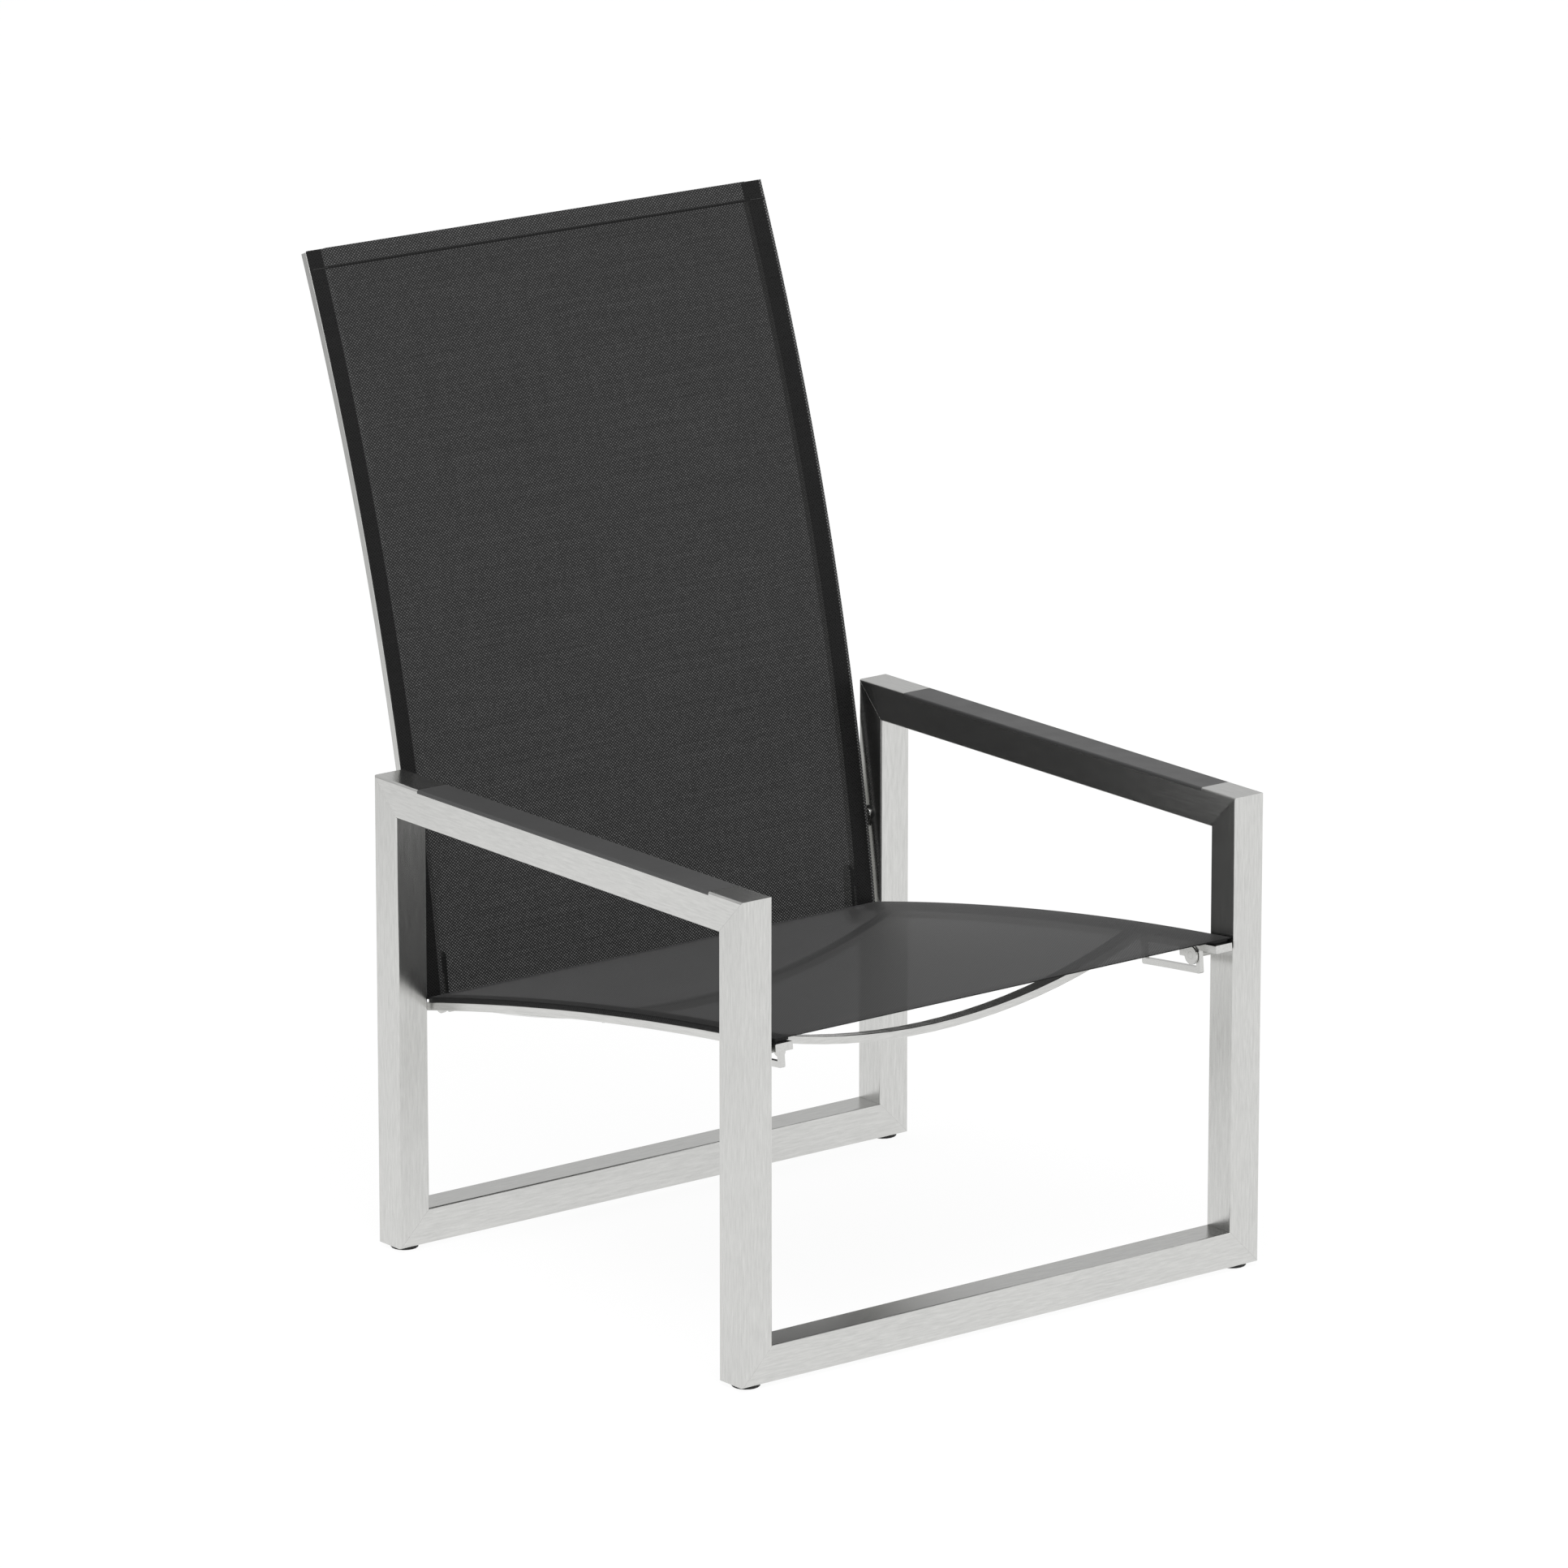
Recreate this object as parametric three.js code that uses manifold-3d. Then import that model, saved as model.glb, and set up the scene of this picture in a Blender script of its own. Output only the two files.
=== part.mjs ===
import * as THREE from "three";
import { mergeVertices } from "three/addons/utils/BufferGeometryUtils.js";
import Module from "manifold-3d";

const wasm = await Module();
wasm.setup();

// A reclining patio chair with two slings, in millimetres. X runs across the chair, the front
// faces -Y and Z is up from the floor. Left and right are as seen from in front of the chair.
// Two side frames of square tube and two floor bars stand still. The back swings on pivots in
// the rear legs. The seat is joined to the foot of the back and slides on pins of the front legs.

// Driving dimensions of the standing frame
const overallWidth = 710;
const frameDepth = 648;
const armHeight = 533;
const tubeSide = 40;
const tubeWall = 2;
const tubeCornerRadius = 2.2;
const weldGap = 0.3;
const cutOverrun = 2;

// Arm pads let into the tops of the arm rails
const padThickness = 4;
const padFrontInset = 57;
const padRearInset = 79;
const padTongueDepth = 5;
const padClearance = 0.3;

// Glides under the legs
const glideDiameter = 31;
const glideHeight = 5;
const glideEdgeRadius = 1.6;
const glideStemDiameter = 8;
const glideStemLength = 8;
const glideStemClearance = 0.3;

// Flat bar of the back and seat rails
const railWidth = 22.8;
const railThickness = 8.8;
const railLegGap = 3.3;
const barEdgeRadius = 0.7;

// Back rail: its front face is one arc that leans further back towards the top
const backAheadOfPivot = 11;
const backStartHeight = 282.3;
const backStartTilt = 7.42 * (Math.PI / 180);
const backRadius = 3227;
const backFootDrop = 2.6;
const backRailLength = 823.6;

// Seat rail: its top face is one arc, steeper towards the rear, whose end tucks under the back
const seatFrontOverhang = 1;
const seatRearTuck = 1;
const seatRearHeight = 276;
const seatRearSlope = 12.672 * (Math.PI / 180);
const seatRadius = 4795;

// Slings: a thin panel with a tubular hem on each rail, and a batten in each hem
const slingThickness = 0.8;
const slingSeat = 0.3;
const slingEdgeInset = 0.2;
const backHemHeight = 4.2;
const seatHemHeight = 6.2;
const backSlingFootInset = 0.6;
const backSlingTopOverhang = 1.5;
const seatSlingFrontInset = 1;
const seatSlingRearInset = 8;
const battenSideInset = 1;
const battenClearance = 0.25;
const battenEndInset = 4;
const pocketHeight = 22;

// Bar in the pocket along the top of the back
const topBarHeight = 17;

// Bowed stretchers between the seat rails, of the same flat bar
const stretcherBow = 49.8;
const stretcherLean = 1.8 * (Math.PI / 180);
const frontStretcherInset = 134;
const rearStretcherInset = 71;

// Pivots of the back in the rear legs
const pivotHeight = 383.3;
const pivotPinDiameter = 8;
const pivotHeadDiameter = 8.6;
const pivotHeadHeight = 0.8;
const pivotPinReach = 15;
const pivotLugThickness = 1.6;
const pivotLugStandoff = 0.9;
const pivotLugEyeRadius = 5.2;
const pivotLugTail = 16;
const bushLength = 12;
const bushWall = 1.6;
const bushFlangeWidth = 2.2;
const bushFlangeThickness = 0.4;
const bearingClearance = 0.3;

// Slide of the seat on pins of the front legs, held by a strap under each rail
const slidePinInset = 32.7;
const slidePinDiameter = 8;
const slidePinHeadDiameter = 11.4;
const slidePinHeadLength = 3;
const slideClearance = 0.3;
const strapThickness = 5.4;
const strapEndWidth = 6;
const strapFootWidth = 6.8;
const strapSlotLength = 86;
const strapSlotHeight = 17;
const strapWeldHeight = 7;
const strapCornerRadius = 2.5;
const retainerThickness = 2.2;
const retainerStrapGap = 0.6;
const retainerDiameter = 20.6;
const retainerTailLength = 18;
const retainerTailDrop = 1.8;

// Hinge between the seat and the foot of the back. The holes of the seat's lugs are larger than
// the pins and lie lower, because the front of the seat is guided by the slide as well.
const hingePinDiameter = 8;
const hingePinHeadDiameter = 13;
const hingePinHeadLength = 2.4;
const hingeBelowStart = 12.3;
const hingeBehindFace = 6.6;
const hingeWander = 1.75;
const hingeHoleDrop = 1.66;
const hingeHoleForward = 0.54;
const hingeClearance = 0.3;
const seatLugThickness = 4;
const seatLugRim = 3.2;
const seatLugLength = 42;
const hingePlateThickness = 4;
const hingePlateGap = 0.4;
const hingePlateRadius = 7.2;
const hingePlateNeckRadius = 6.2;
const hingePlateLength = 52;
const hingePadLength = 18;

// Screws that hold the battens through the rails
const screwDiameter = 4;
const screwClearance = 0.3;
const screwHeadDiameter = 8;
const screwHeadHeight = 2.4;
const screwHeadEdge = 0.8;
const screwBite = 1.2;
const backScrewShares = [0.04, 0.5, 0.95];
const seatScrewShares = [0.022, 0.5, 0.95];

// Steps along round stretches
const longArcSteps = 10;
const plateSteps = 8;
const cornerSteps = 2;
const turnSteps = 18;
const screwSteps = 8;

const sides = [
  { name: "left", sign: -1 },
  { name: "right", sign: 1 },
];
const ends = [
  { name: "front", sign: -1 },
  { name: "rear", sign: 1 },
];

const halfTube = tubeSide / 2;
const legX = overallWidth / 2 - halfTube;
const legY = frameDepth / 2 - halfTube;
const legInnerX = legX - halfTube;
const frameFoot = glideHeight;
const floorBarZ = frameFoot + halfTube;
const armZ = armHeight - halfTube;
const mitreSetback = weldGap / Math.SQRT2;
const railOuterX = legInnerX - railLegGap;
const railInnerX = railOuterX - railWidth;
const slingHalfWidth = railOuterX - slingEdgeInset;

// Finishes
const brushedSteel = { color: 0xc9c9c6, roughness: 0.34, metalness: 1 };
const slingMesh = { color: 0x47474a, roughness: 0.85, metalness: 0 };
const padPlastic = { color: 0x59595c, roughness: 0.6, metalness: 0 };
const blackPlastic = { color: 0x18181a, roughness: 0.55, metalness: 0 };
const whiteNylon = { color: 0xd9d9d4, roughness: 0.5, metalness: 0 };

const chair = new THREE.Group();

function add(parent, name, finish, geometry) {
  const mesh = new THREE.Mesh(geometry, new THREE.MeshStandardMaterial(finish));
  mesh.name = name;
  parent.add(mesh);
  return mesh;
}

// Closed solids for joining and cutting
function toSolid(geometry) {
  const bare = geometry.clone();
  bare.deleteAttribute("normal");
  bare.deleteAttribute("uv");
  const merged = mergeVertices(bare);
  return new wasm.Manifold(new wasm.Mesh({
    numProp: 3,
    vertProperties: new Float32Array(merged.attributes.position.array),
    triVerts: new Uint32Array(merged.index.array),
  }));
}

function toGeometry(solid) {
  const mesh = solid.getMesh();
  const geometry = new THREE.BufferGeometry();
  geometry.setAttribute("position", new THREE.BufferAttribute(mesh.vertProperties, mesh.numProp));
  geometry.setIndex(new THREE.BufferAttribute(mesh.triVerts, 1));
  geometry.computeVertexNormals();
  return geometry;
}

function cut(geometry, tools) {
  let solid = toSolid(geometry);
  for (const tool of tools) {
    solid = solid.subtract(toSolid(tool));
  }
  return toGeometry(solid);
}

function join(geometries) {
  let solid = toSolid(geometries[0]);
  for (const other of geometries.slice(1)) {
    solid = solid.add(toSolid(other));
  }
  return toGeometry(solid);
}

// Outlines
function roundedRectangle(width, height, radius) {
  const shape = new THREE.Shape();
  const right = width / 2 - radius;
  const top = height / 2 - radius;
  shape.absarc(right, top, radius, 0, Math.PI / 2);
  shape.absarc(-right, top, radius, Math.PI / 2, Math.PI);
  shape.absarc(-right, -top, radius, Math.PI, Math.PI * 1.5);
  shape.absarc(right, -top, radius, Math.PI * 1.5, Math.PI * 2);
  return shape;
}

// A strip between two arcs about one centre, from one angle to another. The heights are
// measured outwards from the arc's own face.
function arcStrip(arc, lowHeight, highHeight, fromAngle, toAngle) {
  const shape = new THREE.Shape();
  const falling = toAngle < fromAngle;
  shape.absarc(arc.centre.x, arc.centre.y, arc.radius + highHeight, fromAngle, toAngle, falling);
  shape.absarc(arc.centre.x, arc.centre.y, arc.radius + lowHeight, toAngle, fromAngle, !falling);
  return shape;
}

// An outline in the side plane (Y, Z) made solid from one X to another
const sidePlane = new THREE.Matrix4().makeBasis(
  new THREE.Vector3(0, 1, 0), new THREE.Vector3(0, 0, 1), new THREE.Vector3(1, 0, 0));

function acrossX(shape, fromX, toX, steps, edge = 0) {
  const low = Math.min(fromX, toX);
  const high = Math.max(fromX, toX);
  const geometry = new THREE.ExtrudeGeometry(shape, {
    depth: high - low - 2 * edge,
    curveSegments: steps,
    bevelEnabled: edge > 0,
    bevelThickness: edge,
    bevelSize: edge,
    bevelOffset: -edge,
    bevelSegments: cornerSteps,
  });
  geometry.translate(0, 0, low + edge);
  return geometry.applyMatrix4(sidePlane);
}

// A turned piece on an axis along X: the outline gives the radius as x and the distance along
// the axis as y, and sign points the axis to +X or -X.
function turnedOnX(points, sign, steps, x, y, z) {
  const geometry = new THREE.LatheGeometry(points, steps);
  geometry.rotateZ(-sign * Math.PI / 2);
  return geometry.translate(x, y, z);
}

function rodOnX(diameter, fromX, toX, y, z, steps = turnSteps) {
  const geometry = new THREE.CylinderGeometry(diameter / 2, diameter / 2, Math.abs(toX - fromX), steps);
  geometry.rotateZ(Math.PI / 2);
  return geometry.translate((fromX + toX) / 2, y, z);
}

// Square tube along Z from zero, with each end cut to a slope in x and in y
function squareTube(length, startSlope, endSlope) {
  const inner = tubeSide - 2 * tubeWall;
  const shape = roundedRectangle(tubeSide, tubeSide, tubeCornerRadius);
  const hollow = new THREE.Path();
  hollow.moveTo(-inner / 2, -inner / 2);
  hollow.lineTo(-inner / 2, inner / 2);
  hollow.lineTo(inner / 2, inner / 2);
  hollow.lineTo(inner / 2, -inner / 2);
  hollow.closePath();
  shape.holes.push(hollow);
  const geometry = new THREE.ExtrudeGeometry(shape, {
    depth: length, curveSegments: cornerSteps, bevelEnabled: false,
  });
  const place = geometry.attributes.position;
  for (let i = 0; i < place.count; i += 1) {
    const atEnd = place.getZ(i) > length / 2;
    const slope = atEnd ? endSlope : startSlope;
    const setback = atEnd ? -mitreSetback : mitreSetback;
    place.setZ(i, place.getZ(i) + setback + slope.x * place.getX(i) + slope.y * place.getY(i));
  }
  geometry.computeVertexNormals();
  return geometry;
}

// Arcs of the rails. A place on the back is the length along its face from the start point, and
// a place on the seat is the length along its face from the front end.
const backStartY = legY - backAheadOfPivot;
const backArc = {
  radius: backRadius,
  centre: new THREE.Vector2(
    backStartY + backRadius * Math.cos(backStartTilt),
    backStartHeight - backRadius * Math.sin(backStartTilt)),
};
const backAngle = (place) => Math.PI - backStartTilt - place / backRadius;

const seatFrontY = -frameDepth / 2 - seatFrontOverhang;
const seatRearY = backStartY + seatRearTuck;
const seatArc = {
  radius: seatRadius,
  centre: new THREE.Vector2(
    seatRearY - seatRadius * Math.sin(seatRearSlope),
    seatRearHeight - seatRadius * Math.cos(seatRearSlope)),
};
const seatFrontSlope = Math.asin((seatFrontY - seatArc.centre.x) / seatRadius);
const seatRailLength = seatRadius * (seatRearSlope - seatFrontSlope);
const seatSlope = (place) => seatFrontSlope + place / seatRadius;
const seatAngle = (place) => Math.PI / 2 - seatSlope(place);

function onArc(arc, angle, height) {
  return new THREE.Vector2(
    arc.centre.x + (arc.radius + height) * Math.cos(angle),
    arc.centre.y + (arc.radius + height) * Math.sin(angle));
}

// The two slung parts: rails along an arc, with cloth from one place on them to another
const backStart = -backFootDrop / Math.cos(backStartTilt);
const backEnd = backStart + backRailLength;
const slungBack = {
  name: "back",
  arc: backArc,
  angle: backAngle,
  start: backStart,
  length: backRailLength,
  clothStart: backStart + backSlingFootInset,
  clothEnd: backEnd + backSlingTopOverhang,
  hemHeight: backHemHeight,
  screwShares: backScrewShares,
};
const slungSeat = {
  name: "seat",
  arc: seatArc,
  angle: seatAngle,
  start: 0,
  length: seatRailLength,
  clothStart: seatSlingFrontInset,
  clothEnd: seatRailLength - seatSlingRearInset,
  hemHeight: seatHemHeight,
  screwShares: seatScrewShares,
};
const screwAngles = (slung) => slung.screwShares.map(
  (share) => slung.angle(slung.start + share * slung.length));

// Place of the slide pins: the rail's underside rests on them
const slidePinY = -frameDepth / 2 + slidePinInset - seatFrontOverhang;
const underRail = seatRadius - railThickness - slideClearance - slidePinDiameter / 2;
const slidePinZ = seatArc.centre.y
  + Math.sqrt(underRail ** 2 - (slidePinY - seatArc.centre.x) ** 2);

// Place of the pivots and of the seat hinge
const pivotY = legY;
const hingeY = backStartY + hingeBehindFace - hingeBelowStart * Math.tan(backStartTilt);
const hingeZ = backStartHeight - hingeBelowStart;

// Standing frame
function addLegs(frame) {
  for (const side of sides) {
    for (const end of ends) {
      const length = armZ - floorBarZ;
      const tube = squareTube(length, { x: -side.sign, y: 0 }, { x: 0, y: end.sign });
      tube.translate(side.sign * legX, end.sign * legY, floorBarZ);
      const innerFace = side.sign * (legInnerX - cutOverrun);
      const pastWall = side.sign * (legInnerX + tubeWall + cutOverrun);
      const hole = end.name === "rear"
        ? rodOnX(bushOuterDiameter + 2 * slideClearance, innerFace, pastWall, pivotY, pivotHeight)
        : rodOnX(slidePinDiameter + 2 * slideClearance, innerFace, pastWall, slidePinY, slidePinZ);
      add(frame, `${side.name}_${end.name}_leg`, brushedSteel, cut(tube, [hole]));
    }
  }
}

function addFloorBars(frame) {
  for (const end of ends) {
    const bar = squareTube(2 * legX, { x: 0, y: 1 }, { x: 0, y: -1 });
    bar.translate(0, 0, -legX);
    bar.applyMatrix4(sidePlane);
    bar.translate(0, end.sign * legY, floorBarZ);
    const holes = sides.map((side) => {
      const diameter = glideStemDiameter + 2 * glideStemClearance;
      const depth = 2 * cutOverrun + tubeWall;
      const hole = new THREE.CylinderGeometry(diameter / 2, diameter / 2, depth, turnSteps);
      hole.rotateX(Math.PI / 2);
      return hole.translate(side.sign * legX, end.sign * legY, frameFoot + tubeWall / 2);
    });
    add(frame, `${end.name}_floor_bar`, brushedSteel, cut(bar, holes));
  }
}

function addGlides(frame) {
  const radius = glideDiameter / 2;
  const outline = new THREE.Path();
  outline.moveTo(0, 0);
  outline.lineTo(radius - glideEdgeRadius, 0);
  outline.absarc(radius - glideEdgeRadius, glideEdgeRadius, glideEdgeRadius, -Math.PI / 2, 0);
  outline.lineTo(radius, glideHeight);
  outline.lineTo(glideStemDiameter / 2, glideHeight);
  outline.lineTo(glideStemDiameter / 2, glideHeight + glideStemLength);
  outline.lineTo(0, glideHeight + glideStemLength);
  for (const side of sides) {
    for (const end of ends) {
      const glide = new THREE.LatheGeometry(outline.getPoints(cornerSteps), turnSteps);
      glide.rotateX(Math.PI / 2);
      glide.translate(side.sign * legX, end.sign * legY, 0);
      add(frame, `${side.name}_${end.name}_glide`, blackPlastic, glide);
    }
  }
}

const padFrontY = -frameDepth / 2 + padFrontInset;
const padRearY = frameDepth / 2 - padRearInset;

// Arm rails run along Y, with the top wall let down for the pad
function addArmRails(frame) {
  const alongY = new THREE.Matrix4().makeBasis(
    new THREE.Vector3(1, 0, 0), new THREE.Vector3(0, 0, -1), new THREE.Vector3(0, 1, 0));
  for (const side of sides) {
    const tube = squareTube(2 * legY, { x: 0, y: 1 }, { x: 0, y: -1 });
    tube.translate(0, 0, -legY);
    tube.applyMatrix4(alongY);
    tube.translate(side.sign * legX, 0, armZ);
    const recess = new THREE.BoxGeometry(
      tubeSide + 2 * cutOverrun, padRearY - padFrontY, padThickness + cutOverrun);
    recess.translate(side.sign * legX, (padRearY + padFrontY) / 2,
      armHeight - padThickness + (padThickness + cutOverrun) / 2);
    add(frame, `${side.name}_arm_rail`, brushedSteel, cut(tube, [recess]));
  }
}

// Arm pads: a flush top with rounded long edges over a tongue between the tube's walls
function addArmPads(frame) {
  const half = tubeSide / 2;
  const tongueHalf = half - tubeWall - padClearance;
  const outline = new THREE.Shape();
  outline.moveTo(-half, -padThickness);
  outline.lineTo(-tongueHalf, -padThickness);
  outline.lineTo(-tongueHalf, -padThickness - padTongueDepth);
  outline.lineTo(tongueHalf, -padThickness - padTongueDepth);
  outline.lineTo(tongueHalf, -padThickness);
  outline.lineTo(half, -padThickness);
  outline.absarc(half - tubeCornerRadius, -tubeCornerRadius, tubeCornerRadius, 0, Math.PI / 2);
  outline.absarc(-half + tubeCornerRadius, -tubeCornerRadius, tubeCornerRadius, Math.PI / 2, Math.PI);
  outline.closePath();
  const length = padRearY - padFrontY - 2 * padClearance;
  for (const side of sides) {
    const pad = new THREE.ExtrudeGeometry(outline, {
      depth: length, curveSegments: cornerSteps, bevelEnabled: false,
    });
    pad.rotateX(Math.PI / 2);
    pad.translate(side.sign * legX, padRearY - padClearance, armHeight);
    add(frame, `${side.name}_arm_pad`, padPlastic, pad);
  }
}

// Pivots of the back: a nylon bush in each rear leg, and a pin on a lug of the back rail
const bushInnerRadius = pivotPinDiameter / 2 + bearingClearance;
const bushOuterDiameter = 2 * (bushInnerRadius + bushWall);

function addPivotBushes(frame) {
  const outer = bushOuterDiameter / 2;
  const outline = [
    new THREE.Vector2(bushInnerRadius, -bushFlangeThickness),
    new THREE.Vector2(outer + bushFlangeWidth, -bushFlangeThickness),
    new THREE.Vector2(outer + bushFlangeWidth, 0),
    new THREE.Vector2(outer, 0),
    new THREE.Vector2(outer, bushLength),
    new THREE.Vector2(bushInnerRadius, bushLength),
    new THREE.Vector2(bushInnerRadius, -bushFlangeThickness),
  ];
  for (const side of sides) {
    const bush = turnedOnX(outline, side.sign, turnSteps, side.sign * legInnerX, pivotY, pivotHeight);
    add(frame, `${side.name}_pivot_bush`, whiteNylon, bush);
  }
}

function addPivotPins(back) {
  const lugFace = railOuterX + pivotLugStandoff;
  const radius = pivotPinDiameter / 2;
  const outline = new THREE.Path();
  outline.moveTo(0, -pivotHeadHeight);
  outline.lineTo(radius, -pivotHeadHeight);
  outline.lineTo(pivotHeadDiameter / 2, 0);
  outline.lineTo(radius, 0);
  outline.lineTo(radius, legInnerX + pivotPinReach - lugFace);
  outline.lineTo(0, legInnerX + pivotPinReach - lugFace);
  for (const side of sides) {
    const pin = turnedOnX(outline.getPoints(), side.sign, turnSteps,
      side.sign * (lugFace - slideClearance / 2), pivotY, pivotHeight);
    add(back, `${side.name}_pivot_pin`, brushedSteel, pin);
  }
}

// Pivot lug: a thin plate with an eye round the pin, whose tail is welded to the rail's side
function addPivotLugs(back) {
  const eye = new THREE.Vector2(pivotY, pivotHeight);
  const place = (pivotHeight - backStartHeight) / Math.cos(backStartTilt);
  const tailEnd = onArc(backArc, backAngle(place - pivotLugTail), -railThickness / 2);
  const tailTop = onArc(backArc, backAngle(place), -railThickness / 2);
  const plate = new THREE.Shape();
  const lean = backStartTilt + place / backRadius;
  plate.absarc(eye.x, eye.y, pivotLugEyeRadius, Math.PI / 2 - lean, Math.PI * 1.25 - lean);
  plate.lineTo(tailEnd.x - railThickness / 2, tailEnd.y);
  plate.lineTo(tailEnd.x + railThickness / 2, tailEnd.y);
  plate.lineTo(tailTop.x + railThickness / 2, tailTop.y + pivotLugEyeRadius);
  plate.closePath();
  const hole = new THREE.Path();
  const holeRadius = pivotPinDiameter / 2 + slideClearance / 2;
  hole.absarc(eye.x, eye.y, holeRadius, 0, Math.PI * 2, true);
  plate.holes.push(hole);
  const pad = arcStrip(backArc, -railThickness + barEdgeRadius, -barEdgeRadius,
    backAngle(place - pivotLugTail + barEdgeRadius), backAngle(place));
  for (const side of sides) {
    const outer = railOuterX + pivotLugStandoff;
    const lug = join([
      acrossX(plate, side.sign * outer, side.sign * (outer + pivotLugThickness), plateSteps),
      acrossX(pad, side.sign * railOuterX, side.sign * (outer + pivotLugThickness / 2), 1),
    ]);
    add(back, `${side.name}_pivot_lug`, brushedSteel, lug);
  }
}

// Slide pins in the front legs, with a retainer plate on the inner end of each
const strapInnerX = railInnerX - strapThickness;
const retainerOuterX = strapInnerX - retainerStrapGap;
const retainerInnerX = retainerOuterX - retainerThickness;

function addSlidePins(frame) {
  const radius = slidePinDiameter / 2;
  const headStart = legInnerX + tubeWall + slideClearance - retainerInnerX;
  const outline = [
    new THREE.Vector2(0, 0),
    new THREE.Vector2(radius, 0),
    new THREE.Vector2(radius, headStart),
    new THREE.Vector2(slidePinHeadDiameter / 2, headStart),
    new THREE.Vector2(slidePinHeadDiameter / 2, headStart + slidePinHeadLength),
    new THREE.Vector2(0, headStart + slidePinHeadLength),
  ];
  for (const side of sides) {
    const pin = turnedOnX(outline, side.sign, turnSteps,
      side.sign * retainerInnerX, slidePinY, slidePinZ);
    add(frame, `${side.name}_slide_pin`, brushedSteel, pin);
  }
}

function addRetainers(frame) {
  const radius = retainerDiameter / 2;
  const slope = seatSlope(slidePinInset);
  const outline = new THREE.Shape();
  const tailAngle = -Math.asin(retainerTailDrop / radius);
  outline.absarc(0, 0, radius, Math.PI / 2, Math.PI * 2 + tailAngle);
  outline.lineTo(retainerTailLength, -retainerTailDrop);
  outline.lineTo(retainerTailLength, radius);
  outline.closePath();
  const hole = new THREE.Path();
  hole.absarc(0, 0, slidePinDiameter / 2 + slideClearance / 2, 0, Math.PI * 2, true);
  outline.holes.push(hole);
  for (const side of sides) {
    const plate = acrossX(outline, side.sign * retainerInnerX, side.sign * retainerOuterX, plateSteps);
    plate.rotateX(-slope);
    plate.translate(0, slidePinY, slidePinZ);
    add(frame, `${side.name}_slide_retainer`, brushedSteel, plate);
  }
}

// Screws through the rails into the battens: head on the hidden face, point in the batten
function screwOutline(reach) {
  const radius = screwDiameter / 2;
  const head = screwHeadDiameter / 2;
  return [
    new THREE.Vector2(0, -screwHeadHeight),
    new THREE.Vector2(head - screwHeadEdge, -screwHeadHeight),
    new THREE.Vector2(head, -screwHeadHeight + screwHeadEdge),
    new THREE.Vector2(head, 0),
    new THREE.Vector2(radius, 0),
    new THREE.Vector2(radius, reach),
    new THREE.Vector2(0, reach),
  ];
}

// Lays a geometry made along +Y, from zero, on a rail: it starts at the given height over the
// rail's face and runs outwards there
function setOnArc(geometry, arc, angle, height, x) {
  const start = onArc(arc, angle, height);
  geometry.rotateX(angle);
  return geometry.translate(x, start.x, start.y);
}

function screwHoles(arc, angles, x) {
  const radius = screwDiameter / 2 + screwClearance;
  const length = cutOverrun + railThickness + slingSeat + slingThickness + battenClearance
    + screwBite + screwClearance;
  return angles.map((angle) => {
    const hole = new THREE.CylinderGeometry(radius, radius, length, screwSteps);
    hole.translate(0, length / 2, 0);
    return setOnArc(hole, arc, angle, -railThickness - cutOverrun, x);
  });
}

// One rail with its batten and screws, on the left or right of a slung part
function addRail(parent, slung, side) {
  const { arc, angle, start, length } = slung;
  const middleX = side.sign * (railInnerX + railWidth / 2);
  const angles = screwAngles(slung);
  const holes = screwHoles(arc, angles, middleX);
  const bar = acrossX(arcStrip(arc, -railThickness, 0, angle(start), angle(start + length)),
    side.sign * railInnerX, side.sign * railOuterX, longArcSteps, barEdgeRadius);
  add(parent, `${side.name}_${slung.name}_rail`, brushedSteel, cut(bar, holes));
  const low = slingSeat + slingThickness + battenClearance;
  const high = slung.hemHeight - slingThickness - battenClearance;
  const strip = arcStrip(arc, low, high,
    angle(slung.clothStart + battenEndInset), angle(slung.clothEnd - battenEndInset));
  const inset = slingThickness + slingSeat + battenSideInset;
  const inner = side.sign * (railInnerX + inset);
  const outer = side.sign * (railOuterX - inset);
  const batten = acrossX(strip, inner, outer, longArcSteps);
  add(parent, `${side.name}_${slung.name}_batten`, blackPlastic, cut(batten, holes));
  const reach = railThickness + slingSeat + slingThickness + battenClearance + screwBite;
  angles.forEach((place, index) => {
    const screw = new THREE.LatheGeometry(screwOutline(reach + slingSeat), screwSteps);
    setOnArc(screw, arc, place, -railThickness - slingSeat, middleX);
    add(parent, `${side.name}_${slung.name}_screw_${index + 1}`, brushedSteel, screw);
  });
}

// A sling's panel with its two tubular hems, pierced by the screws
function slingSolid(slung) {
  const { arc, angle, clothStart, clothEnd, hemHeight } = slung;
  const panel = acrossX(
    arcStrip(arc, hemHeight - slingThickness, hemHeight, angle(clothStart), angle(clothEnd)),
    -slingHalfWidth, slingHalfWidth, longArcSteps);
  const hems = [];
  const hollows = [];
  for (const side of sides) {
    const inner = side.sign * (railInnerX + slingSeat);
    const outer = side.sign * slingHalfWidth;
    hems.push(acrossX(
      arcStrip(arc, slingSeat, hemHeight, angle(clothStart), angle(clothEnd)), inner, outer, longArcSteps));
    hollows.push(acrossX(
      arcStrip(arc, slingSeat + slingThickness, hemHeight - slingThickness,
        angle(clothStart - cutOverrun), angle(clothEnd + cutOverrun)),
      inner + side.sign * slingThickness, outer - side.sign * slingThickness, longArcSteps));
    hollows.push(...screwHoles(arc, screwAngles(slung), side.sign * (railInnerX + railWidth / 2)));
  }
  return cut(join([panel, ...hems]), hollows);
}

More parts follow.
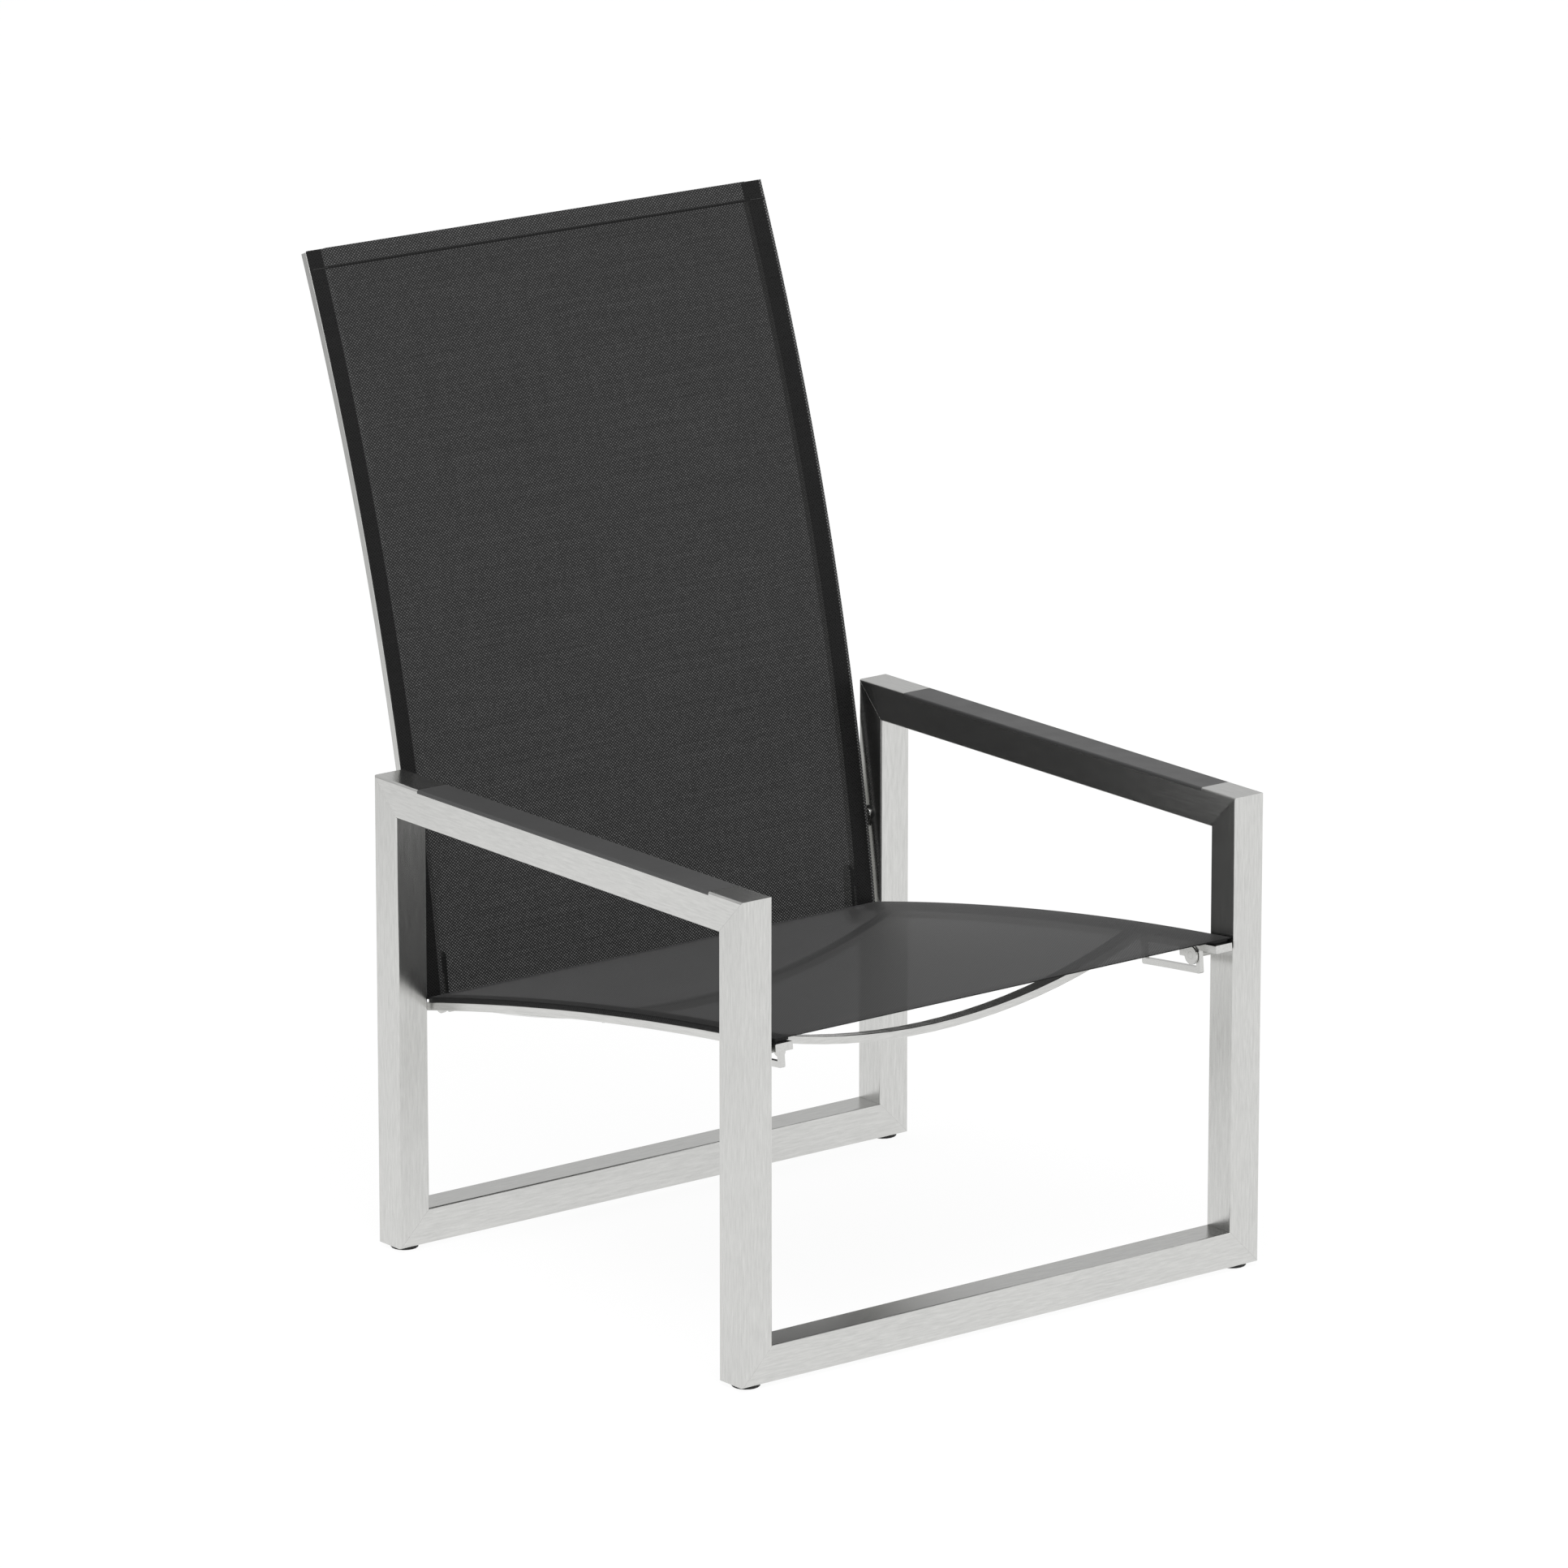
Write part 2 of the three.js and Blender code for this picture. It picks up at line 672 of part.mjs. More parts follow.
// Swinging back
function addBackSling(back) {
  const top = slungBack.clothEnd;
  const behind = -railThickness - slingSeat;
  const pocketFoot = top - pocketHeight;
  const halfWidth = railInnerX - slingSeat;
  const pocket = acrossX(
    arcStrip(backArc, behind - slingThickness, backHemHeight, backAngle(pocketFoot), backAngle(top)),
    -halfWidth, halfWidth, 1);
  const hollow = acrossX(
    arcStrip(backArc, behind, backHemHeight - slingThickness,
      backAngle(pocketFoot + slingThickness), backAngle(top - slingThickness)),
    -halfWidth - cutOverrun, halfWidth + cutOverrun, 1);
  const sleeve = cut(pocket, [hollow]);
  add(back, "back_sling", slingMesh, join([slingSolid(slungBack), sleeve]));
}

function addTopBar(back) {
  const top = slungBack.clothEnd - slingThickness - slingSeat;
  const bar = acrossX(
    arcStrip(backArc, -railThickness, 0, backAngle(top - topBarHeight), backAngle(top)),
    -railInnerX, railInnerX, 1, barEdgeRadius);
  add(back, "top_bar", brushedSteel, bar);
}

// Hinge plates on the back: each hangs inside the seat's lug and carries the hinge pin
const seatLugInnerX = railInnerX - seatLugThickness;
const hingePlateOuterX = seatLugInnerX - hingePlateGap;
const hingePlateInnerX = hingePlateOuterX - hingePlateThickness;

function addHingePlates(back) {
  const topPlace = hingePlateLength - hingeBelowStart;
  const topCentre = onArc(backArc, backAngle(topPlace), -railThickness / 2);
  const foot = new THREE.Vector2(hingeY, hingeZ);
  const along = Math.atan2(topCentre.y - foot.y, topCentre.x - foot.x);
  const plate = new THREE.Shape();
  plate.absarc(foot.x, foot.y, hingePlateRadius, along + Math.PI / 2, along - Math.PI / 2);
  plate.absarc(topCentre.x, topCentre.y, hingePlateNeckRadius, along - Math.PI / 2, along + Math.PI / 2);
  plate.closePath();
  const hole = new THREE.Path();
  hole.absarc(foot.x, foot.y, hingePinDiameter / 2 + slideClearance / 2, 0, Math.PI * 2, true);
  plate.holes.push(hole);
  const pad = arcStrip(backArc, -railThickness + barEdgeRadius, -barEdgeRadius,
    backAngle(topPlace - hingePadLength), backAngle(topPlace));
  for (const side of sides) {
    const bracket = join([
      acrossX(plate, side.sign * hingePlateInnerX, side.sign * hingePlateOuterX, plateSteps),
      acrossX(pad, side.sign * (hingePlateOuterX - hingePlateThickness / 2), side.sign * railInnerX, 1),
    ]);
    add(back, `${side.name}_hinge_plate`, brushedSteel, bracket);
  }
}

function addHingePins(back) {
  const radius = hingePinDiameter / 2;
  const length = railInnerX - hingePlateInnerX;
  const outline = [
    new THREE.Vector2(0, -hingePinHeadLength),
    new THREE.Vector2(hingePinHeadDiameter / 2, -hingePinHeadLength),
    new THREE.Vector2(hingePinHeadDiameter / 2, 0),
    new THREE.Vector2(radius, 0),
    new THREE.Vector2(radius, length),
    new THREE.Vector2(0, length),
  ];
  for (const side of sides) {
    const pin = turnedOnX(outline, side.sign, turnSteps,
      side.sign * (hingePlateInnerX - slideClearance), hingeY, hingeZ);
    add(back, `${side.name}_hinge_pin`, brushedSteel, pin);
  }
}

// Bowed stretcher of the sliding seat: a flat bar bent in a plane across the rails, flush with them
// at its ends
function addStretcher(seat, name, place) {
  const half = railInnerX;
  const topRadius = (half ** 2 + stretcherBow ** 2) / (2 * stretcherBow);
  const bottomRadius = topRadius + railThickness;
  const centreHeight = topRadius - stretcherBow;
  const topSpread = Math.asin(half / topRadius);
  const bottomSpread = Math.asin(half / bottomRadius);
  const down = -Math.PI / 2;
  const outline = new THREE.Shape();
  outline.absarc(0, centreHeight, bottomRadius, down - bottomSpread, down + bottomSpread);
  outline.absarc(0, centreHeight, topRadius, down + topSpread, down - topSpread, true);
  outline.closePath();
  const bar = new THREE.ExtrudeGeometry(outline, {
    depth: railWidth - 2 * barEdgeRadius,
    curveSegments: longArcSteps,
    bevelThickness: barEdgeRadius,
    bevelSize: barEdgeRadius,
    bevelOffset: -barEdgeRadius,
    bevelSegments: cornerSteps,
  });
  bar.translate(0, 0, barEdgeRadius - railWidth);
  const front = onArc(seatArc, seatAngle(place), 0);
  bar.rotateX(Math.PI / 2 - seatSlope(place) - stretcherLean);
  bar.translate(0, front.x, front.y);
  add(seat, name, brushedSteel, bar);
}

// Strap under a rail: a U of flat bar on the rail's inner side, with the slide pin in its slot
function addStraps(seat) {
  const slotFront = slidePinY - slidePinDiameter / 2 - slideClearance;
  const frontPlace = (slotFront - seatFrontY) / Math.cos(seatSlope(slidePinInset));
  const rearPlace = frontPlace + strapSlotLength;
  const slotLow = -railThickness - strapSlotHeight;
  const outer = arcStrip(seatArc, slotLow - strapFootWidth, -railThickness + strapWeldHeight,
    seatAngle(frontPlace - strapEndWidth), seatAngle(rearPlace + strapEndWidth));
  const slot = arcStrip(seatArc, slotLow, railThickness,
    seatAngle(frontPlace), seatAngle(rearPlace));
  const corners = [frontPlace - strapEndWidth, rearPlace + strapEndWidth].map((place, index) => {
    const inward = index === 0 ? strapCornerRadius : -strapCornerRadius;
    const centre = onArc(seatArc, seatAngle(place + inward), slotLow - strapFootWidth + strapCornerRadius);
    const corner = onArc(seatArc, seatAngle(place), slotLow - strapFootWidth);
    const bite = new THREE.Shape();
    const slope = -seatSlope(place);
    const from = index === 0 ? slope + Math.PI : slope - Math.PI / 2;
    bite.absarc(centre.x, centre.y, strapCornerRadius, from, from + Math.PI / 2);
    bite.lineTo(2 * corner.x - centre.x, 2 * corner.y - centre.y);
    bite.closePath();
    return bite;
  });
  for (const side of sides) {
    const from = side.sign * strapInnerX;
    const to = side.sign * railInnerX;
    const past = side.sign * (railInnerX + cutOverrun);
    const before = side.sign * (strapInnerX - cutOverrun);
    const tools = [slot, ...corners].map((shape) => acrossX(shape, before, past, plateSteps));
    const strap = cut(acrossX(outer, from, to, plateSteps), tools);
    add(seat, `${side.name}_slide_strap`, brushedSteel, strap);
  }
}

// Seat lugs: plates on the rails' inner sides that reach back to the hinge pins
function addSeatLugs(seat) {
  const holeRadius = hingePinDiameter / 2 + hingeWander + hingeClearance;
  const centre = new THREE.Vector2(hingeY - hingeHoleForward, hingeZ - hingeHoleDrop);
  const eyeRadius = holeRadius + seatLugRim;
  const slope = seatSlope(seatRailLength);
  const back = new THREE.Vector2(
    centre.x - seatLugLength * Math.cos(slope), centre.y + seatLugLength * Math.sin(slope));
  const half = railThickness / 2;
  const outline = new THREE.Shape();
  outline.absarc(centre.x, centre.y, eyeRadius, Math.PI * 1.2 - slope, Math.PI * 0.7 - slope);
  outline.lineTo(back.x + half * Math.sin(slope), back.y + half * Math.cos(slope) + hingeHoleDrop);
  outline.lineTo(back.x - half * Math.sin(slope), back.y - half * Math.cos(slope) + hingeHoleDrop);
  outline.closePath();
  const hole = new THREE.Path();
  hole.absarc(centre.x, centre.y, holeRadius, 0, Math.PI * 2, true);
  outline.holes.push(hole);
  for (const side of sides) {
    const lug = acrossX(outline, side.sign * seatLugInnerX, side.sign * railInnerX, plateSteps);
    add(seat, `${side.name}_seat_lug`, brushedSteel, lug);
  }
}

const frame = new THREE.Group();
addLegs(frame);
addFloorBars(frame);
addArmRails(frame);
addArmPads(frame);
addGlides(frame);
addPivotBushes(frame);
addSlidePins(frame);
addRetainers(frame);

const back = new THREE.Group();
for (const side of sides) {
  addRail(back, slungBack, side);
}
addTopBar(back);
addBackSling(back);
addPivotLugs(back);
addPivotPins(back);
addHingePlates(back);
addHingePins(back);

const seat = new THREE.Group();
for (const side of sides) {
  addRail(seat, slungSeat, side);
}
addStretcher(seat, "front_stretcher", frontStretcherInset);
addStretcher(seat, "rear_stretcher", seatRailLength - rearStretcherInset);
add(seat, "seat_sling", slingMesh, slingSolid(slungSeat));
addStraps(seat);
addSeatLugs(seat);

chair.add(frame, back, seat);

// The origin lies on the floor under the middle of the whole chair
const reach = new THREE.Box3().setFromObject(chair);
chair.position.y = -(reach.min.y + reach.max.y) / 2;
chair.updateMatrixWorld(true);

export default chair;
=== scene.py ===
"""Looks of a reclining patio chair: brushed steel frame, two taut mesh slings, satin arm pads."""

import math

import bpy
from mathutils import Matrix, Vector

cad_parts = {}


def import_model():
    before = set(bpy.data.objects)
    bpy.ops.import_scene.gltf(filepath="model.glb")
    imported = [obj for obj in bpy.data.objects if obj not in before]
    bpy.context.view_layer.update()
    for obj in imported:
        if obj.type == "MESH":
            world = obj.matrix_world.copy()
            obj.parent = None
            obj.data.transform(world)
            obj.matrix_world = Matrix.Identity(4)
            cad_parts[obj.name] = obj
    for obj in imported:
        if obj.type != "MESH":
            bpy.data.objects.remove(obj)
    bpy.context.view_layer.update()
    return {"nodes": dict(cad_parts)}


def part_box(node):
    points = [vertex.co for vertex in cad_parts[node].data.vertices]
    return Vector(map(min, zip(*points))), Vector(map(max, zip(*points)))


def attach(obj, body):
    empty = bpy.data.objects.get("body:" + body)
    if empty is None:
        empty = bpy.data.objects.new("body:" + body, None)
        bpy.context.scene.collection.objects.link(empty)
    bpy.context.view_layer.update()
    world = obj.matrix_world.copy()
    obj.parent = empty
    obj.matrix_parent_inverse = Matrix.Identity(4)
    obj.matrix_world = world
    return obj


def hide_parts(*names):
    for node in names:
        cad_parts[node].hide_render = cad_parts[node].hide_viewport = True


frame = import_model()
nodes = frame["nodes"]
scene = bpy.context.scene

MM = 0.001
SIDES = (("left", -1), ("right", 1))


# ---------------------------------------------------------------- places taken from the frame
def middle(node):
    low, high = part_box(node)
    return (low + high) / 2


LEG = middle("right_rear_leg")
FRONT_LEG = middle("right_front_leg")
FRAME_Y = (LEG.y + FRONT_LEG.y) / 2
LEG_X = LEG.x
LEG_Y = LEG.y - FRAME_Y
ARM_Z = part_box("right_arm_rail")[1].z - 20 * MM
BAR_Z = middle("rear_floor_bar").z

# Rails, in millimetres with Y from the frame's middle: their edges, and the arcs of their faces,
# which run up from the back's foot and forward from the seat's rear end
RAIL_IN = 288.9
RAIL_OUT = 311.7
RAIL_THICK = 8.8
BACK_TILT = math.radians(7.42)
BACK_RADIUS = 3227
BACK_ARC_Y, BACK_ARC_Z = 293, 282.3
BACK_CENTRE = (BACK_ARC_Y + BACK_RADIUS * math.cos(BACK_TILT),
               BACK_ARC_Z - BACK_RADIUS * math.sin(BACK_TILT))
BACK_FOOT_DROP = 2.6
BACK_RAIL_LENGTH = 823.6
BACK_START = -BACK_FOOT_DROP / math.cos(BACK_TILT)
BACK_END = BACK_START + BACK_RAIL_LENGTH
SEAT_REAR_SLOPE = math.radians(12.672)
SEAT_RADIUS = 4795
SEAT_REAR_Y, SEAT_REAR_Z = 294, 276
SEAT_FRONT_Y = -325
SEAT_CENTRE = (SEAT_REAR_Y - SEAT_RADIUS * math.sin(SEAT_REAR_SLOPE),
               SEAT_REAR_Z - SEAT_RADIUS * math.cos(SEAT_REAR_SLOPE))
SEAT_SLOPE = math.asin((SEAT_FRONT_Y - SEAT_CENTRE[0]) / SEAT_RADIUS)

# Slings, in millimetres along those arcs and in height over them
CLOTH = 0.8
SLING_SEAT = 0.3
PANEL_STEPS = 28
BACK_HEM = 4.2
BACK_FOOT = BACK_START + 0.6
BACK_TOP = BACK_END + 1.5
POCKET_DEPTH = 22
SEAM = BACK_TOP - POCKET_DEPTH
SEAT_HEM = 6.2
SEAT_START = 1.0
SEAT_END = SEAT_RADIUS * (SEAT_REAR_SLOPE - SEAT_SLOPE) - 8


def on_back(x, place, height):
    angle = math.pi - BACK_TILT - place / BACK_RADIUS
    reach = BACK_RADIUS + height
    y = BACK_CENTRE[0] + reach * math.cos(angle)
    z = BACK_CENTRE[1] + reach * math.sin(angle)
    return Vector((x * MM, y * MM + FRAME_Y, z * MM))


def on_seat(x, place, height):
    angle = math.pi / 2 - SEAT_SLOPE - place / SEAT_RADIUS
    reach = SEAT_RADIUS + height
    y = SEAT_CENTRE[0] + reach * math.cos(angle)
    z = SEAT_CENTRE[1] + reach * math.sin(angle)
    return Vector((x * MM, y * MM + FRAME_Y, z * MM))


# ---------------------------------------------------------------- shader helpers
class Tree:
    """A material's nodes, with short calls for the kinds used here."""

    def __init__(self, name):
        self.material = bpy.data.materials.new(name)
        self.material.use_nodes = True
        self.tree = self.material.node_tree
        self.tree.nodes.clear()
        self.output = self.add("ShaderNodeOutputMaterial")

    def add(self, kind, links=(), **settings):
        made = self.tree.nodes.new(kind)
        for key, value in settings.items():
            setattr(made, key, value)
        for socket, value in dict(links).items():
            self.put(made.inputs[socket], value)
        return made

    def put(self, socket, value):
        if isinstance(value, bpy.types.NodeSocket):
            self.tree.links.new(value, socket)
        else:
            socket.default_value = value

    def math(self, operation, a, b=0.0, clamp=False):
        made = self.add("ShaderNodeMath", {0: a, 1: b}, operation=operation, use_clamp=clamp)
        return made.outputs[0]

    def mix(self, share, a, b):
        made = self.add("ShaderNodeMix", {"Factor": share, "A": a, "B": b})
        return made.outputs["Result"]

    def vector_mix(self, share, a, b):
        made = self.add("ShaderNodeMix", data_type="VECTOR")
        self.put(made.inputs[0], share)
        self.put(made.inputs[4], a)
        self.put(made.inputs[5], b)
        return made.outputs[1]

    def vector(self, x, y, z):
        return self.add("ShaderNodeCombineXYZ", {0: x, 1: y, 2: z}).outputs[0]

    def place(self):
        """X, Y and Z of the shaded point, in the frame that all pieces share"""
        coordinate = self.add("ShaderNodeTexCoord").outputs["Object"]
        split = self.add("ShaderNodeSeparateXYZ", {0: coordinate})
        return coordinate, split.outputs[0], split.outputs[1], split.outputs[2]

    def noise(self, vector, scale, detail=2.0, rough=0.5):
        links = {"Vector": vector, "Scale": scale, "Detail": detail, "Roughness": rough}
        return self.add("ShaderNodeTexNoise", links).outputs["Fac"]

    def spread(self, value, low, high, to_low=0.0, to_high=1.0):
        links = {"Value": value, "From Min": low, "From Max": high, "To Min": to_low, "To Max": to_high}
        return self.add("ShaderNodeMapRange", links).outputs["Result"]

    def grey(self, value):
        return self.add("ShaderNodeCombineColor", {0: value, 1: value, 2: value}).outputs[0]

    def bump(self, height, strength, distance):
        links = {"Height": height, "Strength": strength, "Distance": distance}
        return self.add("ShaderNodeBump", links).outputs["Normal"]

    def principled(self, **inputs):
        names = {key.replace("_", " "): value for key, value in inputs.items()}
        return self.add("ShaderNodeBsdfPrincipled", names)

    def finish(self, shader):
        self.tree.links.new(shader.outputs[0], self.output.inputs["Surface"])
        return self.material


STEEL_LEVEL = 0.62
STREAK_CONTRAST = 0.065
CLOUD_CONTRAST = 0.008
WARMTH = 0.978
GRAIN_ACROSS = 420
GRAIN_ALONG = 40


def grain(tree, along, across, other):
    """Brushed streaks: fine across the bar and long along it"""
    vector = tree.vector(
        tree.math("MULTIPLY", along, GRAIN_ALONG),
        tree.math("MULTIPLY", across, GRAIN_ACROSS),
        tree.math("MULTIPLY", other, GRAIN_ACROSS),
    )
    return tree.noise(vector, 1.0, 4.0, 0.7)


def brushed(tree, streak, tangent):
    """Stainless steel with that streak pattern and brushing direction"""
    coordinate = tree.place()[0]
    cloud = tree.noise(coordinate, 9.0, 2.0)
    level = tree.spread(streak, 0.25, 0.75, -STREAK_CONTRAST, STREAK_CONTRAST)
    level = tree.math("ADD", level, STEEL_LEVEL)
    level = tree.math("ADD", level, tree.spread(cloud, 0.3, 0.7, -CLOUD_CONTRAST, CLOUD_CONTRAST))
    colour = tree.add("ShaderNodeCombineColor", {
        0: level, 1: level, 2: tree.math("MULTIPLY", level, WARMTH)}).outputs[0]
    shader = tree.principled(
        Base_Color=colour, Metallic=1.0, Anisotropic=0.55,
        Roughness=tree.spread(streak, 0.2, 0.8, 0.21, 0.25),
        Tangent=tangent, Normal=tree.bump(streak, 0.03, 0.00004))
    return tree.finish(shader)


MITRE_FRAY = 3.5 * MM
MITRE_BLEND = 2.5 * MM


def tube_steel():
    """Legs, arms and floor bars: the streaks follow each bar and cross over at the ground mitres"""
    tree = Tree("brushed_steel_tube")
    coordinate, x, y, z = tree.place()
    aside = tree.math("SUBTRACT", tree.math("ABSOLUTE", x), LEG_X)
    ahead = tree.math("SUBTRACT", tree.math("ABSOLUTE", tree.math("SUBTRACT", y, FRAME_Y)), LEG_Y)
    fray = tree.spread(tree.noise(coordinate, 420.0, 2.0), 0.3, 0.7, -MITRE_FRAY, MITRE_FRAY)
    above = tree.math("SUBTRACT", tree.math("SUBTRACT", z, ARM_Z), ahead)
    on_arm = tree.spread(tree.math("ADD", above, fray), -MITRE_BLEND, MITRE_BLEND)
    below = tree.math("ADD", tree.math("SUBTRACT", z, BAR_Z), aside)
    on_bar = tree.spread(tree.math("SUBTRACT", fray, below), -MITRE_BLEND, MITRE_BLEND)
    upright = grain(tree, z, x, y)
    streak = tree.mix(on_bar, tree.mix(on_arm, upright, grain(tree, y, x, z)), grain(tree, x, y, z))
    arm_way = tree.vector_mix(on_arm, (0, 0, 1), (0, 1, 0))
    return brushed(tree, streak, tree.vector_mix(on_bar, arm_way, (1, 0, 0)))


def rail_steel(name, centre):
    """A rail bent to one arc: the streaks run round the arc's centre"""
    tree = Tree(name)
    x, y, z = tree.place()[1:]
    back = tree.math("SUBTRACT", y, centre[0] * MM + FRAME_Y)
    up = tree.math("SUBTRACT", z, centre[1] * MM)
    reach = tree.math("SQRT", tree.math("ADD", tree.math("MULTIPLY", back, back),
                                        tree.math("MULTIPLY", up, up)))
    along = tree.math("MULTIPLY", tree.math("ARCTAN2", back, up), BACK_RADIUS * MM)
    streak = grain(tree, along, x, reach)
    tangent = tree.vector(0.0, up, tree.math("MULTIPLY", back, -1.0))
    return brushed(tree, streak, tangent)


def cross_steel():
    """Bars that run across the chair"""
    tree = Tree("brushed_steel_cross_bar")
    x, y, z = tree.place()[1:]
    return brushed(tree, grain(tree, x, y, z), (1.0, 0.0, 0.0))


def small_steel():
    """Pins, plates and screws: fine even grain"""
    tree = Tree("fine_steel")
    streak = tree.noise(tree.place()[0], 1500.0, 3.0, 0.6)
    return brushed(tree, streak, (0.0, 1.0, 0.0))


def plastic(name, level, roughness, specular, grain_size, grain_depth):
    """Moulded plastic with a fine spark-eroded texture and slight wear in its gloss"""
    tree = Tree(name)
    coordinate = tree.place()[0]
    fine = tree.noise(coordinate, grain_size, 3.0, 0.6)
    cloud = tree.noise(coordinate, 35.0, 3.0)
    value = tree.math("MULTIPLY", tree.spread(fine, 0.25, 0.75, 0.92, 1.08), level)
    shader = tree.principled(
        Base_Color=tree.grey(value), Specular_IOR_Level=specular,
        Roughness=tree.spread(cloud, 0.3, 0.7, roughness - 0.03, roughness + 0.05),
        Normal=tree.bump(fine, 0.25, grain_depth))
    return tree.finish(shader)


# Mesh: rows of short gaps 1.77 mm apart, every 4 mm along a row and staggered from row to row.
# OPEN_SHARE of its area is open, and DASH_MEAN is the average of one row pattern without its floor.
GAP_ACROSS = 2.0 * MM
GAP_ALONG = 1.77 * MM
GAP_WANDER = 0.08
OPEN_SHARE = 0.0319
DASH_MEAN = 0.1925
THREAD_LEVEL = 0.0115
SEAM_HALF = (1.2 * MM, 1.6 * MM)

# Where painted light stands behind the back's mesh, in metres across the chair: a lit steel colour painted
# in the shaded top pocket and at the rails' edges, brightest at the right rail's edge
POCKET_PAINTED_LIGHT = (-0.2939, 0.2824)
LEFT_EDGE_PAINTED_LIGHT = (-0.2939, -0.2886)
RIGHT_EDGE_PAINTED_LIGHT = (0.3075, 0.3122)
RIGHT_EDGE_LIGHT_GAIN = 4.0
PAINTED_LIGHT_GAIN = 0.4


def between(tree, value, limits):
    above = tree.math("GREATER_THAN", value, limits[0])
    return tree.math("MULTIPLY", above, tree.math("LESS_THAN", value, limits[1]))


def painted_light_backing(tree, x, place):
    """How much painted light shows behind the back's mesh: a lit steel colour painted on the bar in the top
    pocket, where it lies in shade, and on the right edge of each rail, painted brightest on the right
    rail's"""
    in_pocket = tree.math("GREATER_THAN", place, SEAM * MM)
    pocket = tree.math("MULTIPLY", between(tree, x, POCKET_PAINTED_LIGHT), in_pocket)
    # painted light: the right rail's edge is painted brighter than the left's
    right_edge = tree.math("MULTIPLY", between(tree, x, RIGHT_EDGE_PAINTED_LIGHT), RIGHT_EDGE_LIGHT_GAIN)
    edges = tree.math("ADD", between(tree, x, LEFT_EDGE_PAINTED_LIGHT), right_edge)
    return tree.math("MAXIMUM", pocket, edges)


def thread_bands(tree, x, place):
    """Uneven threads, as faint bands across and along the cloth"""
    picks = tree.vector(tree.math("MULTIPLY", x, 4.0), tree.math("MULTIPLY", place, 330.0), 0.0)
    ends = tree.vector(tree.math("MULTIPLY", x, 160.0), tree.math("MULTIPLY", place, 4.0), 5.0)
    picks = tree.spread(tree.noise(picks, 1.0, 3.0, 0.7), 0.3, 0.7, -0.16, 0.16)
    ends = tree.spread(tree.noise(ends, 1.0, 3.0, 0.7), 0.3, 0.7, -0.06, 0.06)
    return tree.math("ADD", tree.math("ADD", picks, ends), 1.0)


def weave(name, is_back):
    """Woven mesh: white shows faintly through its gaps, and the seam below the pocket has none; on the
    back, painted light stands behind the gaps in the pocket and at the rails' edges
    """
    tree = Tree(name)
    spot = tree.add("ShaderNodeUVMap", uv_map="weave").outputs[0]
    split = tree.add("ShaderNodeSeparateXYZ", {0: spot})
    x, place = split.outputs[0], split.outputs[1]
    wander = tree.spread(tree.noise(spot, 420.0, 1.0), 0.3, 0.7, -GAP_WANDER, GAP_WANDER)
    across = tree.math("ADD", tree.math("DIVIDE", x, GAP_ACROSS), wander)
    along = tree.math("DIVIDE", place, GAP_ALONG)
    wave_across = tree.math("COSINE", tree.math("MULTIPLY", across, math.pi))
    wave_along = tree.math("COSINE", tree.math("MULTIPLY", along, math.pi))
    knit = tree.math("MULTIPLY", wave_across, wave_along)
    cell = tree.vector(tree.math("ROUND", across), tree.math("ROUND", along), 0.0)
    chance = tree.add("ShaderNodeTexWhiteNoise", {"Vector": cell}, noise_dimensions="2D")
    band = thread_bands(tree, x, place)
    dash = tree.math("POWER", tree.math("ABSOLUTE", wave_across), 0.6)
    dash = tree.math("MULTIPLY", dash, tree.math("POWER", tree.math("ABSOLUTE", wave_along), 2.0))
    dash = tree.math("MULTIPLY", dash, tree.spread(knit, 0.0, 0.08))
    between_gaps = 0.05 if is_back else 0.0
    peak = OPEN_SHARE / (between_gaps + (1 - between_gaps) * DASH_MEAN)
    gap = tree.spread(dash, 0.0, 1.0, between_gaps, 1.0)
    share = tree.spread(chance.outputs["Value"], 0.0, 1.0, 0.75 * peak, 1.25 * peak)
    gap = tree.math("MULTIPLY", tree.math("MULTIPLY", gap, share), band)
    behind = tree.add("ShaderNodeBsdfTransparent")
    if is_back:
        from_seam = tree.math("ABSOLUTE", tree.math("SUBTRACT", place, SEAM * MM))
        gap = tree.math("MULTIPLY", gap, tree.spread(from_seam, *SEAM_HALF))
        # Painted light: a lit steel colour is put behind the back's gaps where the steel there is shaded,
        # and more of it is let through
        light_paint = painted_light_backing(tree, x, place)
        light_paint_gain = tree.math("ADD", tree.math("MULTIPLY", light_paint, PAINTED_LIGHT_GAIN), 1.0)
        gap = tree.math("MULTIPLY", gap, light_paint_gain)
        bar = tree.add("ShaderNodeBsdfDiffuse", {"Color": (0.8, 0.8, 0.8, 1)})
        behind = tree.add("ShaderNodeMixShader", {0: light_paint, 1: behind.outputs[0], 2: bar.outputs[0]})
    thread = tree.spread(knit, -1.0, 1.0, 1.0, 0.0)
    value = tree.math("MULTIPLY", tree.spread(thread, 0.0, 1.0, 0.7, 1.2), THREAD_LEVEL)
    value = tree.math("MULTIPLY", value, band)
    shader = tree.principled(
        Base_Color=tree.grey(value), Specular_IOR_Level=0.1,
        Sheen_Weight=0.15, Sheen_Roughness=0.3, Roughness=0.5,
        Normal=tree.bump(thread, 0.35, 0.0004))
    mixed = tree.add("ShaderNodeMixShader", {0: gap, 1: shader.outputs[0], 2: behind.outputs[0]})
    return tree.finish(mixed)


def thread_material(name, dark, light):
    tree = Tree(name)
    twist = tree.noise(tree.place()[0], 2500.0, 2.0)
    shader = tree.principled(
        Base_Color=tree.grey(tree.spread(twist, 0.3, 0.7, dark, light)),
        Roughness=0.6, Specular_IOR_Level=0.2, Normal=tree.bump(twist, 0.4, 0.0001))
    return tree.finish(shader)


